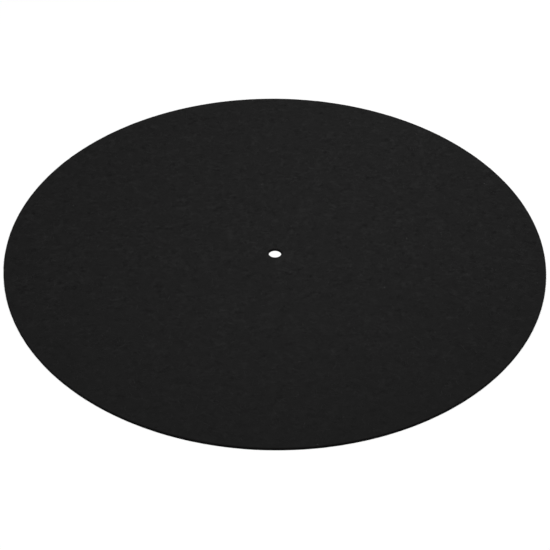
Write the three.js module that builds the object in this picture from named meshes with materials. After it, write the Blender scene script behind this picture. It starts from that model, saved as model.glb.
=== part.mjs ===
// A felt mat for a turntable's platter: one flat disc, die-cut from a roll of felt,
// with a hole in the middle that drops over the platter's spindle.
// Sizes are in millimetres. The mat lies on z = 0, and the spindle's axis is Z.

import * as THREE from "three";

// The three sizes that the die and the roll of felt set.
const matDiameter = 300;
const feltThickness = 1.5;
const spindleHoleDiameter = 7.1;

// The blade goes in from the top and drags the felt's skin down with it, so each
// cut has a soft shoulder on top and a nearly square corner underneath.
const rimShoulderRadius = 0.45;
const holeShoulderRadius = 0.2;
const undersideCornerRadius = 0.12;

// How finely the round shapes are faceted.
const facetsAroundMat = 180;
const facetsPerShoulder = 4;
const facetsPerUndersideCorner = 2;

const feltColour = 0x202020;
const feltRoughness = 0.95;

// Points of a quarter circle about (centreRadius, centreHeight), in the half plane
// that is turned about the spindle's axis, from one angle to another in degrees.
function quarterArc(centreRadius, centreHeight, radius, fromDegrees, toDegrees, facets) {
  const points = [];
  for (let i = 0; i <= facets; i++) {
    const angle = THREE.MathUtils.degToRad(
      THREE.MathUtils.lerp(fromDegrees, toDegrees, i / facets),
    );
    points.push(
      new THREE.Vector2(
        centreRadius + radius * Math.cos(angle),
        centreHeight + radius * Math.sin(angle),
      ),
    );
  }
  return points;
}

// The mat's section from the hole's wall to the rim, closed on itself: along the
// underside, up the rim, back across the face that the record lies on, and down
// the hole.
function matSection() {
  const rimRadius = matDiameter / 2;
  const holeRadius = spindleHoleDiameter / 2;

  const underHole = quarterArc(
    holeRadius + undersideCornerRadius,
    undersideCornerRadius,
    undersideCornerRadius,
    180,
    270,
    facetsPerUndersideCorner,
  );
  const underRim = quarterArc(
    rimRadius - undersideCornerRadius,
    undersideCornerRadius,
    undersideCornerRadius,
    -90,
    0,
    facetsPerUndersideCorner,
  );
  const rimShoulder = quarterArc(
    rimRadius - rimShoulderRadius,
    feltThickness - rimShoulderRadius,
    rimShoulderRadius,
    0,
    90,
    facetsPerShoulder,
  );
  const holeShoulder = quarterArc(
    holeRadius + holeShoulderRadius,
    feltThickness - holeShoulderRadius,
    holeShoulderRadius,
    90,
    180,
    facetsPerShoulder,
  );

  const section = [...underHole, ...underRim, ...rimShoulder, ...holeShoulder];
  section.push(section[0].clone());
  return section;
}

function feltMaterial() {
  return new THREE.MeshStandardMaterial({
    color: feltColour,
    roughness: feltRoughness,
    metalness: 0,
  });
}

// Turns the section about the spindle's axis. A lathe turns about Y, so the solid
// is then stood up with its axis on Z.
function makeFeltMat() {
  const disc = new THREE.LatheGeometry(matSection(), facetsAroundMat);
  disc.rotateX(Math.PI / 2);
  const mat = new THREE.Mesh(disc, feltMaterial());
  mat.name = "felt_mat";
  return mat;
}

const platterMat = new THREE.Group();
platterMat.name = "platter_mat";
platterMat.add(makeFeltMat());

export default platterMat;
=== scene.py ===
# %% [markdown]
# # A felt platter mat
# The mat lies between a record and the platter that turns it. It is one thin disc of black
# needled felt, cut out by a steel die, with a hole in the middle for the spindle.
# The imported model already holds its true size: a plain disc with its hole and its soft edges.
# This lesson leaves that size alone and gives the disc the look of felt: low hills, a tangle of
# fibres, a cut rim, a few loose hairs and a little lint.

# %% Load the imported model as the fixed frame
from math import radians

import bpy
import numpy as np
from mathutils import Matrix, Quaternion, Vector


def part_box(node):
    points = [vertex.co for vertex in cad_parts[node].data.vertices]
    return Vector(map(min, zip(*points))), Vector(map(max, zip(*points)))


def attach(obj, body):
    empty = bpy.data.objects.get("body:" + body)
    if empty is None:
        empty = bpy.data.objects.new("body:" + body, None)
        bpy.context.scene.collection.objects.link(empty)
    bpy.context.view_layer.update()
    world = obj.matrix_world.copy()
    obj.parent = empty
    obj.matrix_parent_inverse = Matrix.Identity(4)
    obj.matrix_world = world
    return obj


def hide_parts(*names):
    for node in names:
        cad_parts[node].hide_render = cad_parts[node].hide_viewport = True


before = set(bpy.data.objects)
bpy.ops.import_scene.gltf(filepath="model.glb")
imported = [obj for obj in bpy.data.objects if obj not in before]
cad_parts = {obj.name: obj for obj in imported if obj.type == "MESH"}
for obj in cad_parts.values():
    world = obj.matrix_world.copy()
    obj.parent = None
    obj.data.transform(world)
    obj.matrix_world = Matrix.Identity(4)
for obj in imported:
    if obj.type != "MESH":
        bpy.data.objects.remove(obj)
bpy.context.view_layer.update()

MM = 0.001  # one millimetre, in Blender's metres

# %% [markdown]
# ## The camera
# The photograph was taken from a metre away, about forty degrees above the table, with a long
# lens, so the far rim looks almost as wide as the near one. A camera could be placed by eye;
# here its place and lens were worked out from the outline, which a circle of known size
# draws as one certain oval. The camera also leans half a degree to one side.

# %% Camera
camera_place = Vector((0.0, -755.3, 631.2)) * MM
looks_at = Vector((0.1, -17.0, 0.0)) * MM
lean = radians(0.522)
lens_mm = 115.75

camera = bpy.data.objects.new("camera", bpy.data.cameras.new("camera"))
camera.data.lens = lens_mm
camera.location = camera_place
camera.rotation_mode = "QUATERNION"
aim = (looks_at - camera_place).to_track_quat("-Z", "Y")
camera.rotation_quaternion = aim @ Quaternion((0, 0, 1), lean)
bpy.context.scene.collection.objects.link(camera)
bpy.context.scene.camera = camera
print("The camera stands", round((looks_at - camera_place).length, 3), "m from its target")

# %% [markdown]
# ## Sizes
# The disc's sizes could be written out again, but then the two could come apart. So they are
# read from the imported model: its box gives the rim and the thickness, and the vertex nearest
# the axis gives the hole. Only the small radii of its edges are written here a second time.

# %% Read the disc's sizes from the frame
_, disc_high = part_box("felt_mat")
cad_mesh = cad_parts["felt_mat"].data
cad_points = np.empty(len(cad_mesh.vertices) * 3, np.float32)
cad_mesh.vertices.foreach_get("co", cad_points)
cad_points = cad_points.reshape(-1, 3)

rim_radius = disc_high.x
thickness = disc_high.z
hole_radius = float(np.hypot(cad_points[:, 0], cad_points[:, 1]).min())
print(f"rim {rim_radius / MM:.2f}, hole {hole_radius / MM:.2f}, felt {thickness / MM:.2f} mm")

# The die goes in from above, so the top edges are rounder than the bottom ones.
rim_shoulder = 0.45 * MM
hole_shoulder = 0.2 * MM
bottom_corner = 0.12 * MM

# %% [markdown]
# ## Random hills
# Felt is never quite even. A noise texture could push the surface about, but then the shape
# would exist only in the picture. Here the height is a sum of many cosine waves, each with its
# own direction, length and start, so it can be worked out at any point in space and the mesh
# itself carries it.

# %% A sum of cosine waves
def wave_field(shortest, longest, count, seed):
    """Returns a function of points in space: the sum of count waves, cos(k . p + start), with
    the directions of k even over a ball and its lengths between 2 pi / longest and
    2 pi / shortest. The sum is divided so that its usual size is 1."""
    draw = np.random.default_rng(seed)
    direction = draw.normal(size=(count, 3))
    direction /= np.linalg.norm(direction, axis=1, keepdims=True)
    length = np.exp(draw.uniform(np.log(shortest), np.log(longest), count))
    k = direction * (2 * np.pi / length)[:, None]
    start = draw.uniform(0, 2 * np.pi, count)

    def field(points):
        return np.cos(points @ k.T + start).sum(-1) * np.sqrt(2 / count)

    return field


def below_face(field):
    """How deep a surface with this field lies below its true face, in usual sizes of the field:
    2 less the field, kept between 0 and 4, so that only the highest hills reach the face."""
    return np.clip(2 - field, 0, 4)


wave_count = 60
felt_hills = wave_field(4.5 * MM, 16 * MM, wave_count, seed=11)
cut_ripple = wave_field(2.5 * MM, 9 * MM, wave_count, seed=12)
sample = np.random.default_rng(1).uniform(-rim_radius, rim_radius, (2000, 3))
print("usual height of the hills before scaling:", felt_hills(sample).std().round(2))

# %% [markdown]
# ## The disc of felt
# The disc is a closed section carried round the spindle's axis, like a very flat doughnut, so
# it has no seam and no pole. The section could be turned by a Screw modifier; worked out as
# one array, every point can then be pushed in along its own normal by the hills.

# %% The section of the disc
def arc(centre, radius, start, stop, steps):
    """Points on a circle in the section's plane: centre + radius (cos a, sin a), with the
    normal (cos a, sin a), for angles a in even steps, in degrees. Gives rows of radius,
    height, and the normal's two parts."""
    a = np.radians(np.linspace(start, stop, steps + 1))
    out = np.stack([np.cos(a), np.sin(a)], 1)
    return np.hstack([np.asarray(centre) + radius * out, out])


def run(start, stop, normal, steps, with_ends=False):
    """Points evenly along a straight stretch. Its two ends are left out where the stretches
    beside it hold them."""
    share = np.linspace(0, 1, steps + 1)[:, None]
    share = share if with_ends else share[1:-1]
    place = np.asarray(start) * (1 - share) + np.asarray(stop) * share
    return np.hstack([place, np.broadcast_to(normal, place.shape)])


face_rings, band_rings, underside_rings = 104, 4, 24
shoulder_steps, corner_steps, wall_steps = 5, 2, 3
# Beside each cut the die's edge has pressed a narrow band of the face.
rim_band, hole_band = 0.5 * MM, 0.8 * MM
top, bottom = thickness, 0.0
outer, inner = rim_radius, hole_radius
corner_at = bottom + bottom_corner
face_outer = outer - rim_shoulder - rim_band
face_inner = inner + hole_shoulder + hole_band

section = np.vstack([
    arc((inner + bottom_corner, corner_at), bottom_corner, 180, 270, corner_steps),
    run((inner + bottom_corner, bottom), (outer - bottom_corner, bottom), (0, -1),
        underside_rings),
    arc((outer - bottom_corner, corner_at), bottom_corner, -90, 0, corner_steps),
    run((outer, corner_at), (outer, top - rim_shoulder), (1, 0), wall_steps),
    arc((outer - rim_shoulder, top - rim_shoulder), rim_shoulder, 0, 90, shoulder_steps),
    run((outer - rim_shoulder, top), (face_outer, top), (0, 1), band_rings),
    run((face_outer, top), (face_inner, top), (0, 1), face_rings, with_ends=True),
    run((face_inner, top), (inner + hole_shoulder, top), (0, 1), band_rings),
    arc((inner + hole_shoulder, top - hole_shoulder), hole_shoulder, 90, 180, shoulder_steps),
    run((inner, top - hole_shoulder), (inner, corner_at), (-1, 0), wall_steps),
])
print("The section has", len(section), "points")

# %% Carry the section round the axis
turns = 600
hill_height = 0.012 * MM
rim_ripple, hole_ripple = 0.02 * MM, 0.005 * MM  # the small punch cuts cleaner than the big die


def felt_surface(section, turns):
    """Turns the section round Z: (r cos t, r sin t, z). Each point is then pushed in along its
    normal, never out, by the hills on the faces and by the ripple of the blade on the cuts,
    so that the disc stays inside its true size."""
    t = np.linspace(0, 2 * np.pi, turns, endpoint=False)[:, None]
    r, z, out, up = section.T
    place = np.stack([r * np.cos(t), r * np.sin(t), z + 0 * t], -1)
    normal = np.stack([out * np.cos(t), out * np.sin(t), up + 0 * t], -1)
    hills = hill_height * below_face(felt_hills(place)) * np.abs(up)
    depth = np.where(r < rim_radius / 2, hole_ripple, rim_ripple)
    ripple = depth * below_face(cut_ripple(place)) * np.abs(out)
    return place - normal * (hills + ripple)[..., None]


def closed_ring_mesh(name, points):
    """A mesh from a grid of points that closes on itself both ways: each face joins a point
    to its neighbours in the next row and column, and the last row and column meet the first.
    Each face's corners are then taken backwards, which turns it outwards."""
    rows, columns = points.shape[:2]
    here = np.arange(rows * columns).reshape(rows, columns)
    along = np.roll(here, -1, axis=1)
    faces = np.stack([here, along, np.roll(along, -1, axis=0), np.roll(here, -1, axis=0)], -1)
    mesh = bpy.data.meshes.new(name)
    mesh.from_pydata(points.reshape(-1, 3), [], faces.reshape(-1, 4)[:, ::-1])
    mesh.shade_smooth()
    return mesh


def place_in_scene(name, mesh):
    """Puts a mesh in the scene as a piece at the origin, and prints its count of triangles."""
    piece = bpy.data.objects.new(name, mesh)
    bpy.context.scene.collection.objects.link(piece)
    print(f"{name} has {sum(len(face.vertices) - 2 for face in mesh.polygons)} triangles")
    return piece


felt_points = felt_surface(section, turns)
felt = place_in_scene("felt_disc", closed_ring_mesh("felt_disc", felt_points))

# %% [markdown]
# Where the blade went through, the fibres are cut short and stand end on, and beside each cut
# the die has pressed a narrow ring of the felt hard. The cut and that ring are coloured darker:
# partly the cut and pressed fibres' own dark, partly painted shade of the edge. A second
# material on the walls would end in a hard line. Instead, the mesh remembers how far each point
# is on a cut or in its ring, and the felt's material reads that and fades from one to the
# other.

# %% Mark the cut edges
rim_pressed_shade, hole_pressed_shade = 0.45, 0.9  # how much darker the bands beside the rim and the hole are: pressed felt and painted shade
# The mark covers the cut walls and the bands beside them. The material darkens both: partly the
# felt's own dark there, partly painted shade.
into_rim_band = ((section[:, 0] - face_outer) / rim_band).clip(0, 1)
into_hole_band = ((face_inner - section[:, 0]) / hole_band).clip(0, 1)
pressed_and_shaded = np.maximum(rim_pressed_shade * into_rim_band ** 2, hole_pressed_shade * into_hole_band)
cut_and_shade_share = np.maximum(section[:, 2] ** 2, pressed_and_shaded)
cut_and_shade_share = np.broadcast_to(cut_and_shade_share, felt_points.shape[:2])
mark = felt.data.attributes.new("cut_and_shaded_edge", "FLOAT", "POINT")
mark.data.foreach_set("value", cut_and_shade_share.ravel().astype(np.float32))
print("Points on the cuts:", int((cut_and_shade_share > 0.5).sum()))

# %% [markdown]
# ## Hairs
# However hard felt is needled, some fibres stay loose. They lie across the face in slow curves,
# both ends caught in the web, and stand out short from the cuts.
# A hair system would grow them, but a hair that is a curve has no surface of its own. Here each
# hair is a thin closed tube: rings of three points along its path, drawn out to a tip at either
# end. All the tubes of a kind are worked out at once, as one array.

# %% Thin tubes along many paths at once
ring_points = 3


def hairs_mesh(name, path, side, up, radius):
    """Closed tubes, one for each path. At every inner point of a path stands a ring,
    centre + radius (cos a side + sin a up), and the two end points are the tips. Faces join
    each ring to the next, and the first and last ring to their tip."""
    hairs, stations = path.shape[:2]
    a = (2 * np.pi * np.arange(ring_points) / ring_points)[:, None]
    spoke = np.cos(a) * side[:, 1:-1, None] + np.sin(a) * up[:, 1:-1, None]
    rings = path[:, 1:-1, None] + spoke * radius[:, 1:-1, None, None]
    points = np.concatenate([rings.reshape(hairs, -1, 3), path[:, [0, -1]]], axis=1)

    last_ring = (stations - 3) * ring_points
    here = np.arange(ring_points)
    beside = np.roll(here, -1)
    first_tip = np.full(ring_points, last_ring + ring_points)
    low = np.arange(0, last_ring, ring_points)[:, None]
    high = low + ring_points
    faces = np.concatenate([
        np.stack([low + here, low + beside, high + beside], -1).reshape(-1, 3),
        np.stack([low + here, high + beside, high + here], -1).reshape(-1, 3),
        np.stack([first_tip, beside, here], -1),
        np.stack([last_ring + here, last_ring + beside, first_tip + 1], -1),
    ])
    all_faces = faces + np.arange(hairs)[:, None, None] * points.shape[1]
    mesh = bpy.data.meshes.new(name)
    mesh.from_pydata(points.reshape(-1, 3), [], all_faces.reshape(-1, 3))
    mesh.shade_smooth()
    return mesh


print("Each hair is a tube with", ring_points, "sides")

# %% Hairs that lie on the face
sway = 0.5  # radians


def face_height(x, y):
    """The height of the felt's face at (x, y): its thickness less the hills, as in the disc."""
    place = np.stack([x, y, np.full_like(x, thickness)], -1)
    return thickness - hill_height * below_face(felt_hills(place))


def lying_hairs(name, centre, length, half_width, curl, lift, stations, draw):
    """Hairs on the face, each about its centre. The heading at share s of the length is
    start + curl (s - 1/2) + sway sin(2 pi (s + phase)), and the path is its running sum. The
    height is the felt's, plus lift sin(pi s), and half_width more than that, but at the two
    ends half_width less, so that they dive in. half_width is one number, or one for each."""
    s = np.linspace(0, 1, stations)
    start, phase = draw.uniform(0, 2 * np.pi, (2, len(centre), 1))
    heading = start + curl[:, None] * (s - 0.5) + sway * np.sin(2 * np.pi * (s + phase))
    along = np.stack([np.cos(heading), np.sin(heading)], -1)
    flat = np.cumsum(along, axis=1) * length[:, None, None] / stations
    flat += centre[:, None] - flat.mean(axis=1, keepdims=True)
    rise = np.sin(np.pi * s)
    z = face_height(flat[..., 0], flat[..., 1]) + lift[:, None] * rise
    z += half_width * (2 * np.minimum(1, 4 * rise) - 1)
    path = np.concatenate([flat, z[..., None]], -1)
    side = np.stack([-along[..., 1], along[..., 0], 0 * z], -1)
    up = np.broadcast_to([0.0, 0.0, 1.0], path.shape)
    return hairs_mesh(name, path, side, up, np.full(z.shape, half_width))


halfway = np.full(1, (hole_radius + rim_radius) / 2)
print("Half way out along X the face is at z =", face_height(halfway, 0 * halfway) / MM, "mm")

# %% Loose fibres on the face
def scattered(count, margin, draw):
    """Centres spread evenly over the ring of felt, margin away from both cuts: an even share
    of the ring's area gives the radius, as the root of a square."""
    low, high = hole_radius + margin, rim_radius - margin
    r = np.sqrt(low ** 2 + (high ** 2 - low ** 2) * draw.uniform(size=count))
    t = draw.uniform(0, 2 * np.pi, count)
    return np.stack([r * np.cos(t), r * np.sin(t)], -1)


draw = np.random.default_rng(21)
fibre_count, fibre_stations = 4100, 10
fibre_run = draw.uniform(2.5, 8.0, fibre_count) * MM
fibre_centre = scattered(fibre_count, rim_shoulder + fibre_run / 2, draw)
fibre_curl = draw.normal(0, 1.6, fibre_count)  # radians, from end to end
fibre_lift = draw.exponential(0.04, fibre_count).clip(0, 0.2) * MM  # most lie nearly flat
half_fibre = 0.022 * MM  # half a hair's width, a little more than a real fibre's
fibres = place_in_scene("loose_fibres", lying_hairs(
    "loose_fibres", fibre_centre, fibre_run, half_fibre, fibre_curl, fibre_lift,
    fibre_stations, draw))

# %% [markdown]
# Between the long fibres stand short ends, the nap. Bump in the material could hint at them,
# but from a low angle they have to stand out against the light. Each is only two rings and two
# tips, because there are thousands of them: its root is in the felt, and it leans over as it
# rises.

# %% The nap
root_depth = 0.05 * MM


def nap_hairs(name, foot, rise, lean, half_width, draw):
    """Short hairs that stand on the face. At share s of its length a hair is lean s^2 from its
    foot, in its own direction, and rise s above the felt, with its root root_depth under it."""
    s = np.array([0.0, 0.3, 0.7, 1.0])
    heading = draw.uniform(0, 2 * np.pi, (len(foot), 1))
    along = np.stack([np.cos(heading), np.sin(heading)], -1)
    flat = foot[:, None] + along * (lean[:, None] * s ** 2)[..., None]
    z = face_height(flat[..., 0], flat[..., 1]) - root_depth + rise[:, None] * s
    path = np.concatenate([flat, z[..., None]], -1)
    slope = np.arctan2(rise[:, None], 2 * lean[:, None] * s)[..., None]
    flat_side = np.stack([-np.sin(heading), np.cos(heading), 0 * heading], -1)
    side = np.broadcast_to(flat_side, path.shape)
    up = np.concatenate([-np.sin(slope) * along, np.cos(slope)], -1)
    return hairs_mesh(name, path, side, up, half_width * (1.2 - 0.6 * s) + 0 * z)


draw = np.random.default_rng(25)
nap_count = 16000
nap_foot = scattered(nap_count, rim_shoulder, draw)
nap_rise = draw.uniform(0.1, 0.3, nap_count) * MM
nap_lean = draw.uniform(0.2, 0.7, nap_count) * MM
nap = place_in_scene("nap", nap_hairs("nap", nap_foot, nap_rise, nap_lean, half_fibre, draw))

# %% [markdown]
# The cut leaves fibre ends standing out of the wall like the bristles of a brush. They are no
# more than half a millimetre long, and on the shoulder they lean back with it. Scattering
# copies of one hair would be quicker, but each would bend alike.

# %% Fuzz on the cuts
shortest_share = 0.3     # of the longest hair
bend, droop = 0.5, 0.2   # shares of a hair's length
wall_stations = 5


def wall_hairs(name, start_radius, shoulder, longest, half_width, count, draw):
    """Short hairs on a cut wall. Each stands at a height z and a direction d from the axis.
    Above the foot of the shoulder the wall leans back by the angle a whose sine is the height
    over the shoulder's radius, so the hair starts at radius start_radius - shoulder (1 - cos a)
    and heads along (cos a, sin a), with its root twice root_depth inside the wall. By the
    square of its share s it bends, sideways and up or down, and droops. A hole's wall faces
    inwards: its start_radius is negative."""
    z = draw.uniform(corner_at, top - root_depth, (count, 1))
    d = draw.uniform(0, 2 * np.pi, (count, 1))
    a = np.arcsin(np.maximum(0, (z - (top - shoulder)) / shoulder))
    reach = draw.uniform(shortest_share, 1.0, (count, 1)) * longest
    sideways, upwards = draw.normal(0, bend, (2, count, 1))
    s = np.linspace(0, 1, wall_stations)
    out = reach * s - 2 * root_depth
    wide = reach * sideways * s ** 2
    tall = reach * (upwards - droop) * s ** 2
    radius = start_radius - shoulder * (1 - np.cos(a)) + out * np.cos(a) - tall * np.sin(a)
    height = (z + out * np.sin(a) + tall * np.cos(a)).clip(half_width, None)
    path = np.stack([radius * np.cos(d) - wide * np.sin(d),
                     radius * np.sin(d) + wide * np.cos(d), height], -1)
    nothing = 0 * height
    side = np.stack([-np.sin(d) + nothing, np.cos(d) + nothing, nothing], -1)
    up = np.stack([-np.sin(a) * np.cos(d) + nothing, -np.sin(a) * np.sin(d) + nothing,
                   np.cos(a) + nothing], -1)
    thin = half_width * (1 - 0.5 * s) + nothing
    return hairs_mesh(name, path, side, up, thin)


rim_fuzz_count, hole_fuzz_count = 4000, 400
longest_at_rim, longest_at_hole = 0.5 * MM, 0.4 * MM
rim_fuzz = place_in_scene("rim_fuzz", wall_hairs(
    "rim_fuzz", rim_radius, rim_shoulder, longest_at_rim, half_fibre, rim_fuzz_count,
    np.random.default_rng(22)))
hole_fuzz = place_in_scene("hole_fuzz", wall_hairs(
    "hole_fuzz", -hole_radius, hole_shoulder, longest_at_hole, half_fibre, hole_fuzz_count,
    np.random.default_rng(23)))

# %% [markdown]
# ## Lint
# Black felt shows every speck. A few pale threads about a millimetre long lie on the mat. The
# brightest speck, between the hole and the right rim, is no thread but a short thick crumb.
# Specks could be scattered at random, but these are few enough to be laid one by one.

# %% Lint where it fell
lint_places = np.array([  # millimetres from the spindle's axis
    (59.7, -28.3), (122, 65), (13, -88), (-116, 41), (-8, 63), (15, -59), (45, 125),
    (103, -61), (35, -128), (85, 113.5), (22, -147), (74, 14),
]) * MM
draw = np.random.default_rng(24)
lint_run = draw.uniform(0.8, 1.3, len(lint_places)) * MM
half_lint = np.full((len(lint_places), 1), 0.025 * MM)
crumb, finest = 0, 9  # which of the places hold the crumb and the finest thread
lint_run[crumb], half_lint[crumb] = 0.8 * MM, 0.08 * MM
half_lint[finest] = 0.015 * MM
lint_curl = draw.normal(0, 2.5, len(lint_places))
lint_lift = draw.uniform(0.02, 0.15, len(lint_places)) * MM
lint_stations = 12
lint = place_in_scene("lint", lying_hairs(
    "lint", lint_places, lint_run, half_lint, lint_curl, lint_lift, lint_stations, draw))

# %% [markdown]
# ## Materials
# A colour is written as it looks on a screen, as a hex value, and one function turns it into
# the linear numbers that light adds up in. A material could be drawn by hand in the shader
# editor. Here a second function adds its nodes one by one, so that every number can be read.
# A Mix node holds its inputs once for each kind of value: sockets 2 and 3 are its numbers, 6
# and 7 its colours, and output 2 is the mixed colour.

# %% Two helpers for materials
def linear(hex_colour):
    """An sRGB hex colour as linear red, green, blue and alpha: each channel is
    ((c + 0.055) / 1.055) to the power 2.4, or c / 12.92 near black."""
    c = np.array([int(hex_colour[i:i + 2], 16) for i in (1, 3, 5)]) / 255
    return (*np.where(c > 0.04045, ((c + 0.055) / 1.055) ** 2.4, c / 12.92), 1.0)


def add(tree, kind, inputs=(), **settings):
    """Adds one node. settings are the node's own properties. inputs gives, by the socket's
    name or number, a plain value or another node's output, which is linked."""
    node = tree.nodes.new(kind)
    for name, value in settings.items():
        setattr(node, name, value)
    for socket, value in dict(inputs).items():
        if isinstance(value, bpy.types.NodeSocket):
            tree.links.new(value, node.inputs[socket])
        else:
            node.inputs[socket].default_value = value
    return node


print("Mid grey, #808080, is", round(float(linear("#808080")[0]), 3), "in linear light")

# %% [markdown]
# ## Black needled felt
# Polyester and wool fibres are dyed black in the vat, laid in a web and punched by barbed
# needles until they hold together. What the eye gets is a dull black with no gloss, a soft
# bloom at a low angle from the fuzz, and a mottle a few millimetres across, where tufts stand
# a little higher and lighter than the gaps between them.
# A photograph of felt would give this at once, but it would not hold at every distance. So the
# tufts and the tangle are built from noise, at sizes in millimetres, on the mat's own
# coordinates.

# %% Start the felt's material
felt_material = bpy.data.materials.new("needled_felt_dyed_black")
felt_material.use_nodes = True
tree = felt_material.node_tree
coordinates = add(tree, "ShaderNodeTexCoord")
in_mm = add(tree, "ShaderNodeMapping",
            {"Vector": coordinates.outputs["Object"], "Scale": (1 / MM, 1 / MM, 1 / MM)})
print("One unit of the pattern is", MM, "m")

# %% [markdown]
# The tangle is noise pulled out into streaks, once for each of five angles, and the highest
# streak shows. The web comes off its rollers along X, so more of its fibres lie that way than
# across. Its own swirl bends the coordinates first, so that no fibre is straight.
# Real fibres are 0.03 mm thick, too fine to show from here, so these are drawn 0.25 mm wide.

# %% A tangle of fibres
swirl_size, swirl_reach = 7.0, 4.5        # mm
fibre_width, fibre_length = 0.25, 3.5     # mm
strand_angles = (0, 24, -24, 58, -58)     # degrees from X
strand_foot, strand_crest = 0.5, 0.75     # only the noise above its middle is a fibre

swirl = add(tree, "ShaderNodeTexNoise",
            {"Vector": in_mm.outputs[0], "Scale": 1 / swirl_size, "Detail": 1.0})
bent = add(tree, "ShaderNodeVectorMath",
           {0: swirl.outputs["Color"], 1: (swirl_reach, swirl_reach, 0.0), 2: in_mm.outputs[0]},
           operation="MULTIPLY_ADD")
tangle = None
for angle in strand_angles:
    strand_space = add(tree, "ShaderNodeMapping",
                       {"Vector": bent.outputs[0], "Rotation": (0, 0, radians(angle)),
                        "Scale": (fibre_length, fibre_width, fibre_width)},
                       vector_type="TEXTURE")
    noise = add(tree, "ShaderNodeTexNoise",
                {"Vector": strand_space.outputs[0], "Scale": 1.0, "Detail": 0.0})
    strands = add(tree, "ShaderNodeMapRange",
                  {"Value": noise.outputs["Fac"],
                   "From Min": strand_foot, "From Max": strand_crest})
    if tangle is None:
        tangle = strands.outputs[0]
    else:
        tangle = add(tree, "ShaderNodeMath", {0: tangle, 1: strands.outputs[0]},
                     operation="MAXIMUM").outputs[0]
print("Strands lie at", len(strand_angles), "angles")

# %% [markdown]
# Under the fibres the web itself is uneven. It has tufts of one to three millimetres, a little
# longer along X, and wider clouds where it is thicker.

# %% Tufts and clouds
tuft_length, tuft_width, cloud_size = 2.9, 2.5, 9.0  # mm
cloud_share, tangle_share = 0.2, 0.25

tuft_space = add(tree, "ShaderNodeMapping",
                 {"Vector": in_mm.outputs[0], "Scale": (tuft_length, tuft_width, tuft_width)},
                 vector_type="TEXTURE")
tufts = add(tree, "ShaderNodeTexNoise",
            {"Vector": tuft_space.outputs[0], "Scale": 1.0, "Detail": 2.0, "Roughness": 0.6})
clouds = add(tree, "ShaderNodeTexNoise",
             {"Vector": in_mm.outputs[0], "Scale": 1 / cloud_size, "Detail": 2.0})
web = add(tree, "ShaderNodeMix",
          {"Factor": cloud_share, 2: tufts.outputs["Fac"], 3: clouds.outputs["Fac"]},
          data_type="FLOAT")
height = add(tree, "ShaderNodeMix",
             {"Factor": tangle_share, 2: web.outputs[0], 3: tangle}, data_type="FLOAT")
print("Tufts are", tuft_length, "by", tuft_width, "mm, clouds", cloud_size, "mm")

# %% [markdown]
# The needles don't strike evenly, so some patches stay lofty and others lie flat and calm.
# The mottle is also turned down towards the front edge, as painted shading: there the light
# comes from behind and gives the felt's relief less shade. Both could be painted over the
# colour. Here they only turn the mottle down, so its mean tone stays.

# %% Calm patches and the calmer front
patch_size = 6.0  # mm
flat_patch, lofty_patch = 0.37, 0.65     # where the patches' noise counts as flat and as lofty
flat_contrast, front_contrast = 0.18, 0.5
calm_from, calm_to = 0.0, -170.0     # mm along Y

patches = add(tree, "ShaderNodeTexNoise",
              {"Vector": in_mm.outputs[0], "Scale": 1 / patch_size, "Detail": 1.0})
loft = add(tree, "ShaderNodeMapRange",
           {"Value": patches.outputs["Fac"], "From Min": flat_patch, "From Max": lofty_patch,
            "To Min": flat_contrast, "To Max": 1.0})
along_y = add(tree, "ShaderNodeSeparateXYZ", {0: in_mm.outputs[0]})
# painted shading: the mottle is calmer towards the front, where the light from behind shades
# the relief less
front_calming = add(tree, "ShaderNodeMapRange",
                {"Value": along_y.outputs["Y"], "From Min": calm_to, "From Max": calm_from,
                 "To Min": front_contrast, "To Max": 1.0})
contrast = add(tree, "ShaderNodeMath", {0: loft.outputs[0], 1: front_calming.outputs[0]},
               operation="MULTIPLY")
print("The mottle keeps", flat_contrast, "of its contrast in the calmest patches")

# %% [markdown]
# The height of the web gives the shade, light on the tufts and dark in the gaps, and the same
# height is the bump. Where the mesh is marked as cut, both tones are darker: partly the cut and
# pressed fibres' own dark, partly painted shade of the edge. Most light that would glint off
# one fibre dies between its neighbours, so the gloss is next to nothing, and a trace of sheen
# is the bloom.

# %% The felt's colour, bump and finish
light_felt, dark_felt = linear("#232323"), linear("#020202")
# painted shade, in part: the cut's two tones are darker copies of the felt's
light_shaded_cut, dark_shaded_cut = linear("#0a0a0a"), linear("#020202")
gap_height, tuft_height = 0.29, 0.71  # the height's range, from the darkest to the lightest
middle_shade = 0.5
bump_height = 0.1 * MM

full_shade = add(tree, "ShaderNodeMapRange",
                 {"Value": height.outputs[0], "From Min": gap_height, "From Max": tuft_height})
shade = add(tree, "ShaderNodeMix",
            {"Factor": contrast.outputs[0], 2: middle_shade, 3: full_shade.outputs[0]},
            data_type="FLOAT")
face_colour = add(tree, "ShaderNodeMix",
                  {"Factor": shade.outputs[0], 6: dark_felt, 7: light_felt}, data_type="RGBA")
shaded_cut_colour = add(tree, "ShaderNodeMix",
                 {"Factor": shade.outputs[0], 6: dark_shaded_cut, 7: light_shaded_cut}, data_type="RGBA")
cut = add(tree, "ShaderNodeAttribute", attribute_name="cut_and_shaded_edge")
colour = add(tree, "ShaderNodeMix",
             {"Factor": cut.outputs["Fac"],
              6: face_colour.outputs[2], 7: shaded_cut_colour.outputs[2]}, data_type="RGBA")
bump = add(tree, "ShaderNodeBump",
           {"Height": height.outputs[0], "Strength": 1.0, "Distance": bump_height})

shader = tree.nodes["Principled BSDF"]
tree.links.new(colour.outputs[2], shader.inputs["Base Color"])
tree.links.new(bump.outputs[0], shader.inputs["Normal"])
shader.inputs["Roughness"].default_value = 0.95
shader.inputs["Specular IOR Level"].default_value = 0.08
shader.inputs["Sheen Weight"].default_value = 0.02
shader.inputs["Sheen Roughness"].default_value = 0.5
felt.data.materials.append(felt_material)
print(felt_material.name, "has", len(tree.nodes), "nodes")

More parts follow.
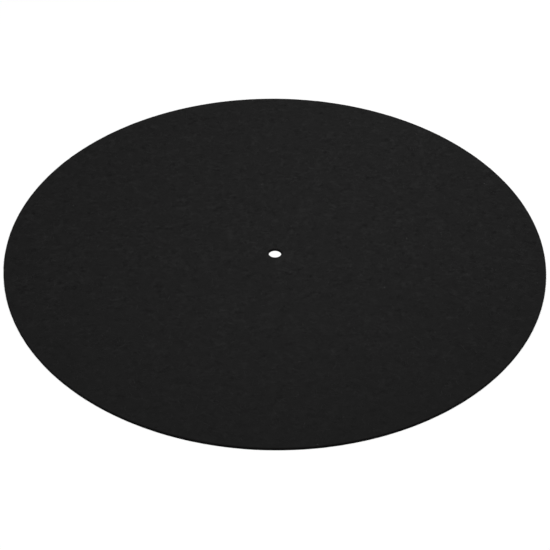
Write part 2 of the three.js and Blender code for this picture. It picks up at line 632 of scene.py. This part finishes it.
# %% [markdown]
# ## Fibre and lint
# One fibre by itself is polyester, a clear plastic with dye in it, so it has a soft gloss and
# looks lighter than the felt, where fibres shade each other. The dye doesn't take evenly, so
# the hairs come in three tones. Lint is undyed cotton, which is dull and pale.
# A pattern could vary one material along each hair, but none is wide enough to show it.

# %% The fibres' and the lint's materials
def thread_material(name, hex_colour, roughness, specular):
    """A plain thread, all one colour."""
    material = bpy.data.materials.new(name)
    material.use_nodes = True
    thread = material.node_tree.nodes["Principled BSDF"]
    thread.inputs["Base Color"].default_value = linear(hex_colour)
    thread.inputs["Roughness"].default_value = roughness
    thread.inputs["Specular IOR Level"].default_value = specular
    return material


fibre_tones = (("black", "#1d1d1d"), ("sooty", "#272727"), ("grey", "#3d3d3d"))
tone_shares = (0.5, 0.37, 0.13)
dyed_fibres = [
    thread_material("polyester_fibre_" + name, hex_colour, roughness=0.6, specular=0.2)
    for name, hex_colour in fibre_tones]


def dress_hairs(piece, hair_count, draw):
    """Gives each hair one of the three tones, in the shares of tone_shares."""
    for material in dyed_fibres:
        piece.data.materials.append(material)
    tone = draw.choice(len(dyed_fibres), hair_count, p=tone_shares)
    faces_per_hair = len(piece.data.polygons) // hair_count
    piece.data.polygons.foreach_set("material_index", np.repeat(tone, faces_per_hair))


dress_hairs(fibres, fibre_count, np.random.default_rng(31))
dress_hairs(nap, nap_count, np.random.default_rng(34))
dress_hairs(rim_fuzz, rim_fuzz_count, np.random.default_rng(32))
dress_hairs(hole_fuzz, hole_fuzz_count, np.random.default_rng(33))
lint.data.materials.append(
    thread_material("undyed_cotton_lint", "#9c9c9a", roughness=0.9, specular=0.2))
print("fibre tones:", [material.name for material in dyed_fibres])

# %% [markdown]
# ## The studio
# The photograph has a pure white ground. The floor is white paint, and what lights the mat is
# too little to make it read as white out to its edges. So where the camera looks straight at
# it, most of its white is a glow of its own, and the rest still takes the mat's shadow.

# %% The floor
half_floor = 3.0  # m
sheet_gap = 0.05 * MM  # keeps the floor's face clear of the felt's underside
floor_glow = 0.94  # a strength of 1 is white
corners = np.array([(-1, -1, 0), (1, -1, 0), (1, 1, 0), (-1, 1, 0)]) * half_floor
floor_mesh = bpy.data.meshes.new("studio_floor")
floor_mesh.from_pydata(corners - (0, 0, sheet_gap), [], [(0, 1, 2, 3)])
floor = bpy.data.objects.new("studio_floor", floor_mesh)
bpy.context.scene.collection.objects.link(floor)

floor_material = bpy.data.materials.new("matt_white_paint")
floor_material.use_nodes = True
tree = floor_material.node_tree
paint = tree.nodes["Principled BSDF"]
paint.inputs["Base Color"].default_value = linear("#f4f4f4")
paint.inputs["Roughness"].default_value = 0.9
paint.inputs["Specular IOR Level"].default_value = 0.0
glow = add(tree, "ShaderNodeEmission", {"Strength": floor_glow})
# Under the lights this grey adds the last of the white, and less of it in the mat's shadow.
shadow_catcher = add(tree, "ShaderNodeBsdfDiffuse", {"Color": linear("#616161")})
both = add(tree, "ShaderNodeAddShader", {0: shadow_catcher.outputs[0], 1: glow.outputs[0]})
ray = add(tree, "ShaderNodeLightPath")
seen = add(tree, "ShaderNodeMixShader",
           {0: ray.outputs["Is Camera Ray"], 1: paint.outputs[0], 2: both.outputs[0]})
tree.links.new(seen.outputs[0], tree.nodes["Material Output"].inputs["Surface"])
floor.data.materials.append(floor_material)
print("The floor is", 2 * half_floor, "m wide")

# %% [markdown]
# The room around the mat gives the same soft light from every side. What the camera sees of
# it, straight or in a glossy or clear surface, is plain white, as in the photograph. A large
# white backdrop would do the same, but it would have to be lit by itself.

# %% The white room
room_share = 0.3  # of the light on the mat; the lamp gives the rest
world = bpy.data.worlds.new("white_studio")
world.use_nodes = True
bpy.context.scene.world = world
tree = world.node_tree
room_light = tree.nodes["Background"]
room_light.inputs["Color"].default_value = linear("#ffffff")
room_light.inputs["Strength"].default_value = room_share
white = add(tree, "ShaderNodeBackground", {"Color": linear("#ffffff"), "Strength": 1.0})
ray = add(tree, "ShaderNodeLightPath")
seen_or_mirrored = add(tree, "ShaderNodeMath",
                       {0: ray.outputs["Is Camera Ray"], 1: ray.outputs["Is Glossy Ray"]},
                       operation="MAXIMUM")
shows_white = add(tree, "ShaderNodeMath",
                  {0: seen_or_mirrored.outputs[0], 1: ray.outputs["Is Transmission Ray"]},
                  operation="MAXIMUM")
choice = add(tree, "ShaderNodeMixShader",
             {0: shows_white.outputs[0], 1: room_light.outputs[0], 2: white.outputs[0]})
tree.links.new(choice.outputs[0], tree.nodes["World Output"].inputs["Surface"])
bpy.context.scene.view_settings.view_transform = "Standard"
print("The room gives", room_share, "of the light on the mat")

# %% [markdown]
# ## The lamp
# In the photograph the mat is lightest a little behind and to the right of its middle, and it
# falls off faster to the sides than from front to back. A long soft box does that: it hangs
# level above the light place and is turned so that it points from the front to the back.
# Its power is worked out so that, with the room, a colour renders about as it is written.

# %% Lamp
lamp_place = Vector((0.040, 0.045, 0.285))  # metres
lamp_length, lamp_width = 0.50, 0.20
lamp_heading = radians(67)
lamp_share = 1 - room_share
lamp = bpy.data.objects.new("soft_box", bpy.data.lights.new("soft_box", "AREA"))
lamp.data.shape = "RECTANGLE"
lamp.data.size, lamp.data.size_y = lamp_length, lamp_width
lamp.visible_camera = False
lamp.location = lamp_place
lamp.rotation_euler = (0, 0, lamp_heading)
bpy.context.scene.collection.objects.link(lamp)


def light_per_watt(place, length, width, heading):
    """What a level lamp of one watt gives the floor at the origin: the mean over its parts of
    c^2 / (pi q^2), where q is a part's distance and c = height / q is the cosine of both the
    angle at which the light leaves the lamp and the one at which it meets the floor."""
    parts = 20  # each way
    share = (np.arange(parts) + 0.5) / parts - 0.5
    along, across = np.meshgrid(share * length, share * width)
    x = place.x + along * np.cos(heading) - across * np.sin(heading)
    y = place.y + along * np.sin(heading) + across * np.cos(heading)
    q = np.sqrt(x ** 2 + y ** 2 + place.z ** 2)
    return float(((place.z / q) ** 2 / (np.pi * q ** 2)).mean())


# White paint looks white under pi watts to the square metre.
lamp.data.energy = lamp_share * np.pi / light_per_watt(lamp_place, lamp_length, lamp_width,
                                                       lamp_heading)
print("lamp power", round(lamp.data.energy, 2), "W")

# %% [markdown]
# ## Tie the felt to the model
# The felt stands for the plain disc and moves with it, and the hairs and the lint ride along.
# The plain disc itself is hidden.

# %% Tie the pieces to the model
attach(felt, "root")
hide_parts("felt_mat")
loose = [fibres, nap, rim_fuzz, hole_fuzz, lint]
for hairs in loose:
    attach(hairs, "root")
